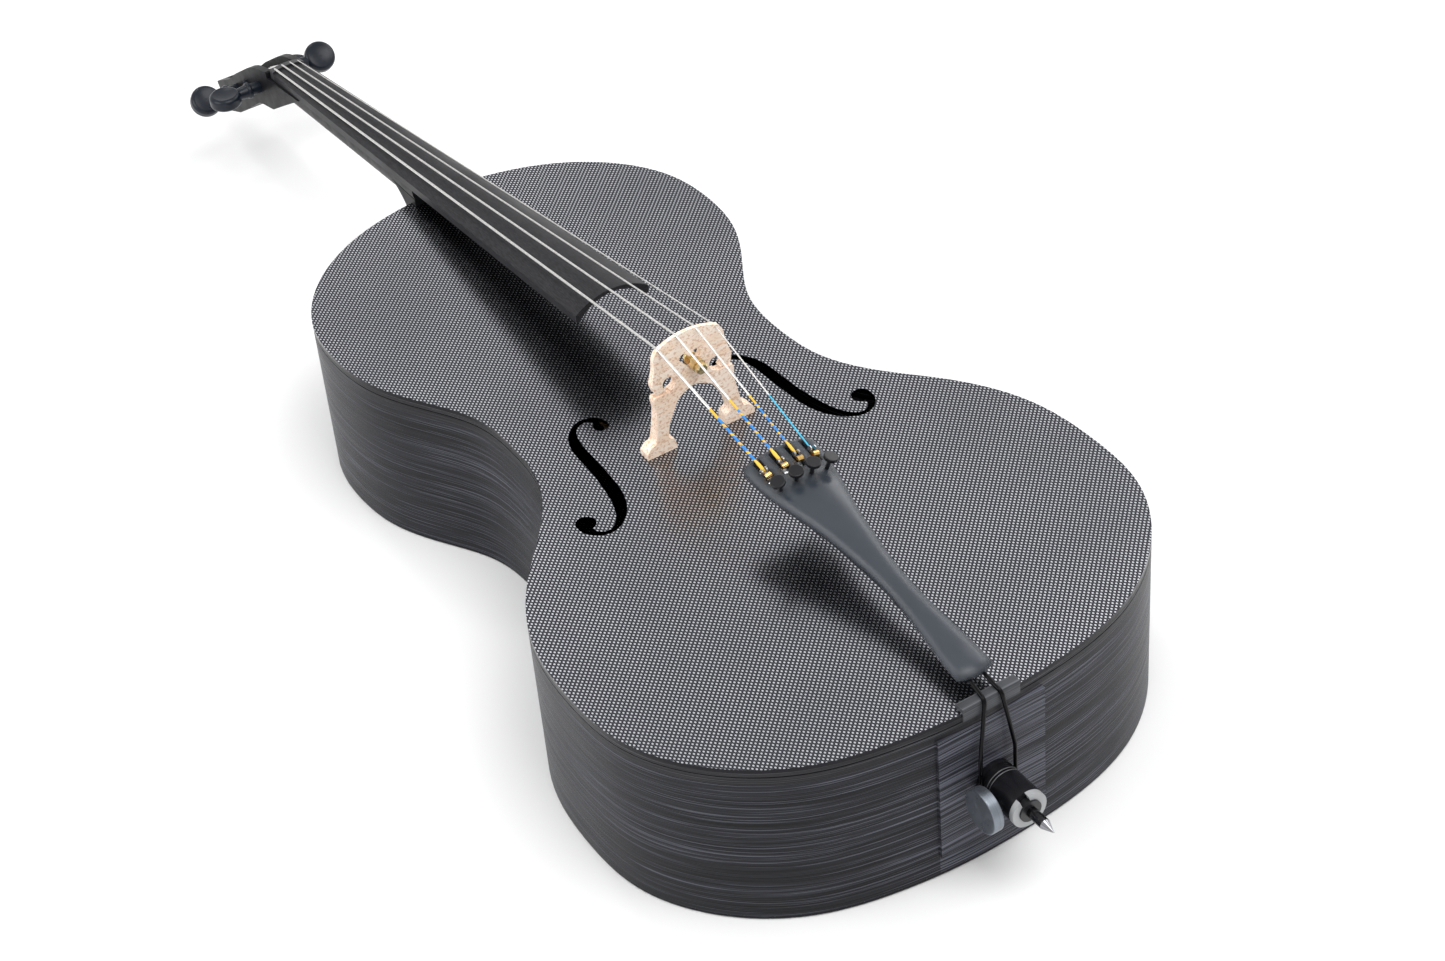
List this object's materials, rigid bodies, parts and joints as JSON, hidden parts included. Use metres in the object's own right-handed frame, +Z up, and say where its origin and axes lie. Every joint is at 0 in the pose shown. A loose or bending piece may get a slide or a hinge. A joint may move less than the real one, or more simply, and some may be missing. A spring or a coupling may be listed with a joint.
{
  "type": "cello",
  "caption": "Cello with a flat woven-carbon top, printed ribs and neck, cut-off pegbox, built-in fine tuners and endpin.",
  "frame": {"origin": "bottom centre of the whole instrument lying on its back, endpin in", "axes": "+Y from the tail end towards the pegbox, +X towards the treble side, +Z up through the top plate"},
  "size_m": [0.4382, 1.2218, 0.2301],
  "materials": {
    "carbon_weave": "plain-weave carbon laminate, satin clear resin",
    "printed_rib": "carbon-filled printed plastic with fine level layer lines",
    "printed_neck": "carbon-filled printed plastic, smooth",
    "board_black": "matt charcoal composite, faintly brushed lengthwise",
    "saddle_grey": "light grey printed plastic",
    "spruce": "straight-grained spruce",
    "block_core": "printed plastic block",
    "maple": "pale flecked maple",
    "brass_turned": "turned brass, satin",
    "tail_composite": "satin blue-black composite",
    "black_metal": "black anodised metal",
    "bright_steel": "bright steel",
    "tuner_black": "black moulded plastic",
    "peg_black": "satin black moulded plastic",
    "cord_black": "glossy black tail cord",
    "string_steel": "flat-wound steel string",
    "collar_black": "black moulded plastic",
    "clear_washer": "milky silicone washer",
    "knob_alloy": "satin turned alloy"
  },
  "bodies": {
    "root": {"back_plate": "carbon_weave", "rib_shell": "printed_rib", "top_rim": "printed_rib", "top_plate": "carbon_weave", "bass_bar": "spruce", "sound_post": "spruce", "tail_block": "block_core", "neck_block": "block_core", "neck_bolts": "bright_steel", "neck": "printed_neck", "fingerboard": "board_black", "nut": "board_black", "saddle": "saddle_grey", "bridge": "maple", "bridge_button": "brass_turned", "bridge_button_nut": "brass_turned", "tailpiece": "tail_composite", "tuner_pins": "bright_steel", "tail_cord": "cord_black", "endpin_collar": "collar_black", "endpin_ring": "clear_washer", "endpin_bush": "collar_black", "string_c": "string_steel", "string_g": "string_steel", "string_d": "string_steel", "string_a": "string_steel"},
    "endpin": {"endpin_rod": "black_metal", "endpin_tip": "black_metal"},
    "clamp_screw": {"clamp_stem": "bright_steel"},
    "clamp_knob": {"clamp_knob": "knob_alloy"},
    "peg_c": {"peg_c": "peg_black", "string_winding_c": "string_steel"},
    "tuner_screw_c": {"tuner_stem_c": "black_metal"},
    "tuner_knob_c": {"tuner_knob_c": "tuner_black"},
    "tuner_lever_c": {"tuner_lever_c": "bright_steel", "string_ball_c": "brass_turned"},
    "peg_g": {"peg_g": "peg_black", "string_winding_g": "string_steel"},
    "tuner_screw_g": {"tuner_stem_g": "black_metal"},
    "tuner_knob_g": {"tuner_knob_g": "tuner_black"},
    "tuner_lever_g": {"tuner_lever_g": "bright_steel", "string_ball_g": "brass_turned"},
    "peg_d": {"peg_d": "peg_black", "string_winding_d": "string_steel"},
    "tuner_screw_d": {"tuner_stem_d": "black_metal"},
    "tuner_knob_d": {"tuner_knob_d": "tuner_black"},
    "tuner_lever_d": {"tuner_lever_d": "bright_steel", "string_ball_d": "brass_turned"},
    "peg_a": {"peg_a": "peg_black", "string_winding_a": "string_steel"},
    "tuner_screw_a": {"tuner_stem_a": "black_metal"},
    "tuner_knob_a": {"tuner_knob_a": "tuner_black"},
    "tuner_lever_a": {"tuner_lever_a": "bright_steel", "string_ball_a": "brass_turned"}
  },
  "joints": [
    {"name": "peg_c_turn", "type": "hinge", "parent": "root", "child": "peg_c", "pos_m": [0, 0.50425, 0.103], "axis": [-1, 0, 0], "continuous": true},
    {"name": "tuner_c_travel", "type": "slide", "parent": "root", "child": "tuner_screw_c", "axis": [-0.2894, -0.1696, 0.9421], "range_m": [-0.0024, 0.0016]},
    {"name": "tuner_c_turn", "type": "hinge", "parent": "tuner_screw_c", "child": "tuner_knob_c", "pos_m": [-0.02026, -0.33552, 0.19148], "axis": [-0.2894, -0.1696, 0.9421], "range_deg": [-1080.5, 720.5]},
    {"name": "tuner_c_lever", "type": "hinge", "parent": "root", "child": "tuner_lever_c", "pos_m": [-0.01707, -0.31476, 0.18452], "axis": [0.9572, -0.0513, 0.2848], "range_deg": [-4.78, 7.17]},
    {"name": "peg_g_turn", "type": "hinge", "parent": "root", "child": "peg_g", "pos_m": [0, 0.56025, 0.073], "axis": [-1, 0, 0], "continuous": true},
    {"name": "tuner_g_travel", "type": "slide", "parent": "root", "child": "tuner_screw_g", "axis": [-0.0939, -0.1764, 0.9798], "range_m": [-0.0024, 0.0016]},
    {"name": "tuner_g_turn", "type": "hinge", "parent": "tuner_screw_g", "child": "tuner_knob_g", "pos_m": [-0.00658, -0.336, 0.19413], "axis": [-0.0939, -0.1764, 0.9798], "range_deg": [-1080.5, 720.5]},
    {"name": "tuner_g_lever", "type": "hinge", "parent": "root", "child": "tuner_lever_g", "pos_m": [-0.00554, -0.31516, 0.18675], "axis": [0.9956, -0.0166, 0.0925], "range_deg": [-4.78, 7.17]},
    {"name": "peg_d_turn", "type": "hinge", "parent": "root", "child": "peg_d", "pos_m": [0, 0.58725, 0.057], "axis": [1, 0, 0], "continuous": true},
    {"name": "tuner_d_travel", "type": "slide", "parent": "root", "child": "tuner_screw_d", "axis": [0.0939, -0.1764, 0.9798], "range_m": [-0.0024, 0.0016]},
    {"name": "tuner_d_turn", "type": "hinge", "parent": "tuner_screw_d", "child": "tuner_knob_d", "pos_m": [0.00658, -0.336, 0.19413], "axis": [0.0939, -0.1764, 0.9798], "range_deg": [-1080.5, 720.5]},
    {"name": "tuner_d_lever", "type": "hinge", "parent": "root", "child": "tuner_lever_d", "pos_m": [0.00554, -0.31516, 0.18675], "axis": [0.9956, 0.0166, -0.0925], "range_deg": [-4.78, 7.17]},
    {"name": "peg_a_turn", "type": "hinge", "parent": "root", "child": "peg_a", "pos_m": [0, 0.53425, 0.0904], "axis": [1, 0, 0], "continuous": true},
    {"name": "tuner_a_travel", "type": "slide", "parent": "root", "child": "tuner_screw_a", "axis": [0.2894, -0.1696, 0.9421], "range_m": [-0.0024, 0.0016]},
    {"name": "tuner_a_turn", "type": "hinge", "parent": "tuner_screw_a", "child": "tuner_knob_a", "pos_m": [0.02026, -0.33552, 0.19148], "axis": [0.2894, -0.1696, 0.9421], "range_deg": [-1080.5, 720.5]},
    {"name": "tuner_a_lever", "type": "hinge", "parent": "root", "child": "tuner_lever_a", "pos_m": [0.01707, -0.31476, 0.18452], "axis": [0.9572, 0.0513, -0.2848], "range_deg": [-4.78, 7.17]},
    {"name": "endpin_slide", "type": "slide", "parent": "root", "child": "endpin", "axis": [0, -1, 0], "range_m": [0, 0.36]},
    {"name": "clamp_travel", "type": "slide", "parent": "root", "child": "clamp_screw", "axis": [-1, 0, 0], "range_m": [0, 0.003]},
    {"name": "clamp_turn", "type": "hinge", "parent": "clamp_screw", "child": "clamp_knob", "pos_m": [-0.022, -0.56805, 0.0703], "axis": [-1, 0, 0], "range_deg": [-0.5, 1080.5]}
  ],
  "couplings": [
    {"joint": "tuner_c_turn", "follows": "tuner_c_travel", "rad_per_m": 7854},
    {"joint": "tuner_c_lever", "follows": "tuner_c_travel", "rad_per_m": -52.083},
    {"joint": "tuner_g_turn", "follows": "tuner_g_travel", "rad_per_m": 7854},
    {"joint": "tuner_g_lever", "follows": "tuner_g_travel", "rad_per_m": -52.083},
    {"joint": "tuner_d_turn", "follows": "tuner_d_travel", "rad_per_m": 7854},
    {"joint": "tuner_d_lever", "follows": "tuner_d_travel", "rad_per_m": -52.083},
    {"joint": "tuner_a_turn", "follows": "tuner_a_travel", "rad_per_m": 7854},
    {"joint": "tuner_a_lever", "follows": "tuner_a_travel", "rad_per_m": -52.083},
    {"joint": "clamp_turn", "follows": "clamp_travel", "rad_per_m": 6283.2}
  ]
}
